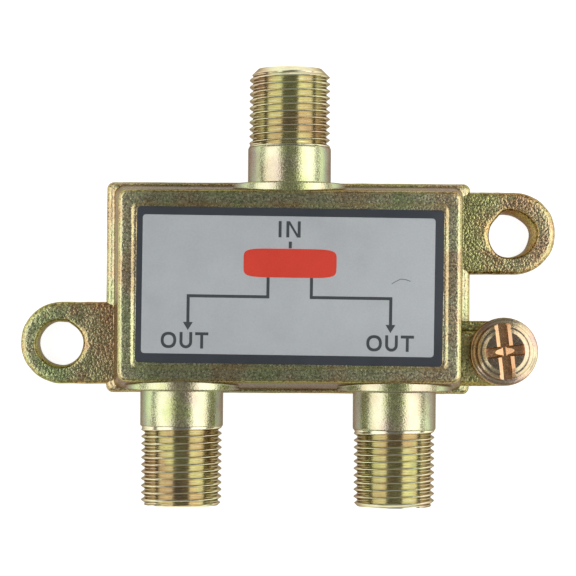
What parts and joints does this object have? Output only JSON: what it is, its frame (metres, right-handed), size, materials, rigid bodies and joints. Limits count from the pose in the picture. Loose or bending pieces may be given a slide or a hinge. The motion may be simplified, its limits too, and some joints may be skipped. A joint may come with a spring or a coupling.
{
  "type": "coaxial splitter",
  "caption": "Die-cast coaxial splitter with threaded input and output ports, fixing ears, a label and a ground screw.",
  "frame": {"origin": "middle of the back plane, on which the part lies", "axes": "+Z out of the labelled front, +Y along the input port and away from the outputs, +X towards the ground terminal"},
  "size_m": [0.0616, 0.0494, 0.0138],
  "materials": {
    "plated_casting": "as-cast zinc with iridescent yellow chromate plating",
    "plated_screw": "steel with iridescent yellow chromate plating",
    "label_foil": "printed matte silver foil",
    "tinned_steel": "tinned",
    "white_plastic": "moulded",
    "spring_bronze": "bright",
    "board_laminate": "paper laminate",
    "ferrite": "sintered",
    "enamelled_wire": "enamelled copper",
    "resistor_lacquer": "lacquered",
    "capacitor_ceramic": "dipped"
  },
  "bodies": {
    "splitter": {"housing": "plated_casting", "label": "label_foil", "back_cover": "tinned_steel", "input_insulator": "white_plastic", "output_left_insulator": "white_plastic", "output_right_insulator": "white_plastic", "input_bush": "white_plastic", "output_left_bush": "white_plastic", "output_right_bush": "white_plastic", "input_contact": "spring_bronze", "output_left_contact": "spring_bronze", "output_right_contact": "spring_bronze", "circuit_board": "board_laminate", "matching_core": "ferrite", "splitter_core": "ferrite", "matching_winding": "enamelled_wire", "splitter_winding": "enamelled_wire", "isolation_resistor": "resistor_lacquer", "input_capacitor": "capacitor_ceramic", "bridge_capacitor": "capacitor_ceramic"},
    "washer": {"ground_washer": "plated_screw"},
    "screw": {"ground_screw": "plated_screw"}
  },
  "joints": [
    {"name": "washer_lift", "type": "slide", "parent": "splitter", "child": "washer", "axis": [0, 0, 1], "range_m": [0, 0.00318]},
    {"name": "screw_turn", "type": "hinge", "parent": "washer", "child": "screw", "pos_m": [0.02458, -0.00716, 0.0069], "axis": [0, 0, 1], "range_deg": [0, 1440]}
  ],
  "couplings": [
    {"joint": "screw_turn", "follows": "washer_lift", "rad_per_m": 7913.3}
  ]
}
